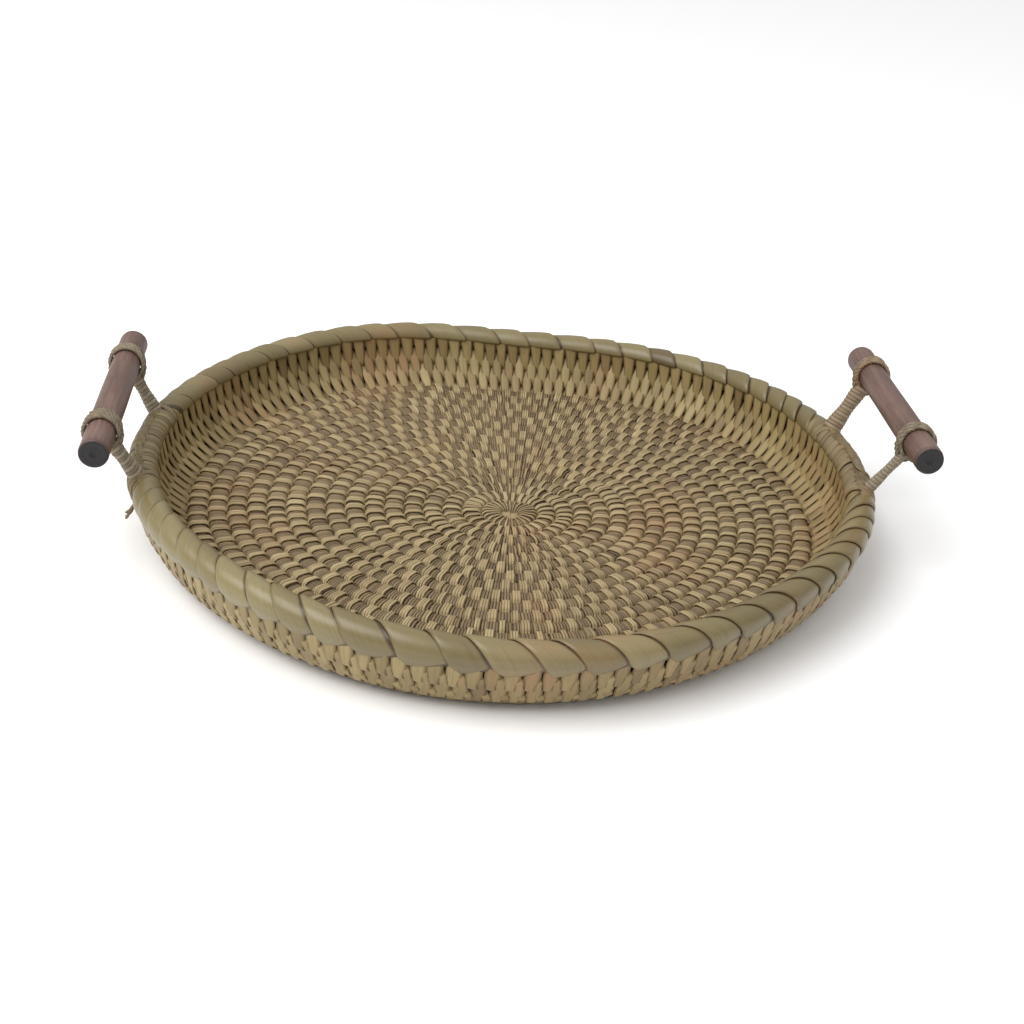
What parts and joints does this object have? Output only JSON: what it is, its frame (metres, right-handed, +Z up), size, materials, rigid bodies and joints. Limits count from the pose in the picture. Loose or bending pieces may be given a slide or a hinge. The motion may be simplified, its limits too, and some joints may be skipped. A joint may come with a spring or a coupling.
{
  "type": "serving tray",
  "caption": "Round shallow coiled-rattan serving tray with a raised bound wall, a thick wrapped rim and a raised round stick grip on each side.",
  "frame": {"origin": "centre of the tray on the surface it stands on", "axes": "+Z up; the two grips lie along Y, one at each end of X; the longest side is along X"},
  "size_m": [0.3308, 0.2998, 0.064],
  "materials": {
    "cane_core": "matte natural round cane",
    "floor_strip": "satin split rattan, grey-tan with darker strands",
    "wall_strip": "satin flat rattan strips",
    "rim_strip": "smooth glossy flat rattan peel, olive straw",
    "post_binding": "satin fine rattan strips",
    "loop_winding": "matte twisted rattan strands",
    "grip_wood": "smooth mauve-brown stick with a slight sheen"
  },
  "bodies": {
    "tray": {"centre_start": "floor_strip", "floor_coil": "cane_core", "floor_binding": "floor_strip", "foot_coil": "cane_core", "foot_binding": "floor_strip", "lower_wall_coil": "cane_core", "upper_wall_coil": "cane_core", "wall_binding": "wall_strip", "rim_rod": "cane_core", "rim_wrap": "rim_strip", "left_rim_lashing": "rim_strip", "right_rim_lashing": "rim_strip", "left_far_post": "cane_core", "left_near_post": "cane_core", "right_far_post": "cane_core", "right_near_post": "cane_core", "left_far_neck_binding": "post_binding", "left_near_neck_binding": "post_binding", "right_far_neck_binding": "post_binding", "right_near_neck_binding": "post_binding", "left_far_post_tie": "post_binding", "left_near_post_tie": "post_binding", "right_far_post_tie": "post_binding", "right_near_post_tie": "post_binding", "left_far_grip_loop": "loop_winding", "left_near_grip_loop": "loop_winding", "right_far_grip_loop": "loop_winding", "right_near_grip_loop": "loop_winding"},
    "left_grip": {"left_grip": "grip_wood"},
    "right_grip": {"right_grip": "grip_wood"}
  },
  "joints": [
    {"name": "left_grip_turn", "type": "hinge", "parent": "tray", "child": "left_grip", "pos_m": [-0.155, 0, 0.052], "axis": [0, 1, 0], "continuous": true},
    {"name": "right_grip_turn", "type": "hinge", "parent": "tray", "child": "right_grip", "pos_m": [0.1586, 0, 0.0555], "axis": [0, 1, 0], "continuous": true}
  ]
}
